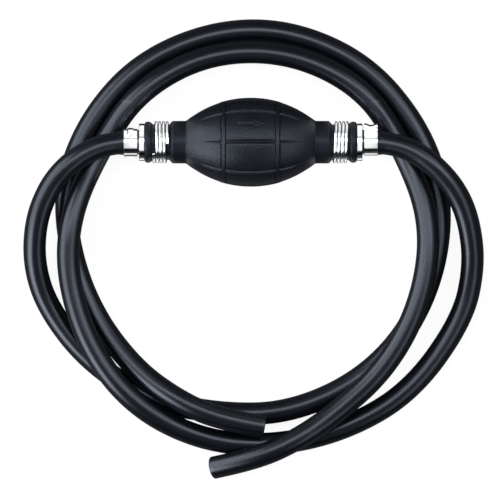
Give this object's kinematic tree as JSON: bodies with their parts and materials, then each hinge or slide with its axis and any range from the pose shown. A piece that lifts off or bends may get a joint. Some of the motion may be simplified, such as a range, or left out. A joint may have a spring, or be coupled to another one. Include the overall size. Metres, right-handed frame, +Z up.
{
  "type": "primer bulb siphon hose",
  "caption": "Hand siphon hose: a squeezable rubber primer bulb with a check valve at each end, clamped to two coiled rubber hoses with open cut ends.",
  "frame": {"origin": "on the surface that it lies on, below the middle of the primer bulb", "axes": "+X along the bulb in the direction of flow, +Z up; the hoses coil on the -Y side"},
  "size_m": [0.2648, 0.2644, 0.051],
  "materials": {
    "bulb_rubber": "matte moulded black rubber with a fine grain",
    "hose_rubber": "smooth satin black rubber",
    "aluminium": "turned, bright",
    "bright_wire": "bright zinc plated spring wire",
    "stainless_band": "bright rolled stainless strip",
    "valve_spring_steel": "drawn stainless wire",
    "poppet_plastic": "natural acetal",
    "seal_rubber": "matte nitrile"
  },
  "bodies": {
    "siphon": {"bulb_shell": "bulb_rubber", "inlet_valve_body": "aluminium", "outlet_valve_body": "aluminium", "inlet_valve_retainer": "aluminium", "outlet_valve_retainer": "aluminium", "inlet_valve_seat": "seal_rubber", "outlet_valve_seat": "seal_rubber", "inlet_valve_spring": "valve_spring_steel", "outlet_valve_spring": "valve_spring_steel", "inlet_neck_clamp": "bright_wire", "outlet_neck_clamp": "bright_wire", "inlet_hose_clamp": "stainless_band", "outlet_hose_clamp": "stainless_band", "inlet_hose": "hose_rubber", "inlet_hose_end": "hose_rubber", "outlet_hose": "hose_rubber", "outlet_hose_end": "hose_rubber"},
    "bulb_upper": {"bulb_upper_wall": "bulb_rubber"},
    "bulb_lower": {"bulb_lower_wall": "bulb_rubber"},
    "inlet_poppet": {"inlet_valve_poppet": "poppet_plastic"},
    "outlet_poppet": {"outlet_valve_poppet": "poppet_plastic"}
  },
  "joints": [
    {"name": "bulb_squeeze", "type": "slide", "parent": "siphon", "child": "bulb_upper", "axis": [0, 0, -1], "range_m": [0, 0.012], "stiffness_N_per_m": 3000, "springref_m": -0.004},
    {"name": "bulb_squeeze_below", "type": "slide", "parent": "siphon", "child": "bulb_lower", "axis": [0, 0, 1], "range_m": [0, 0.012], "stiffness_N_per_m": 3000, "springref_m": -0.004},
    {"name": "inlet_valve_lift", "type": "slide", "parent": "siphon", "child": "inlet_poppet", "axis": [1, 0, 0], "range_m": [0, 0.003], "stiffness_N_per_m": 60, "springref_m": -0.003, "deforming": ["inlet_valve_spring"]},
    {"name": "outlet_valve_lift", "type": "slide", "parent": "siphon", "child": "outlet_poppet", "axis": [1, 0, 0], "range_m": [0, 0.003], "stiffness_N_per_m": 60, "springref_m": -0.003, "deforming": ["outlet_valve_spring"]}
  ],
  "couplings": [
    {"joint": "bulb_squeeze_below", "follows": "bulb_squeeze", "ratio": 1}
  ]
}
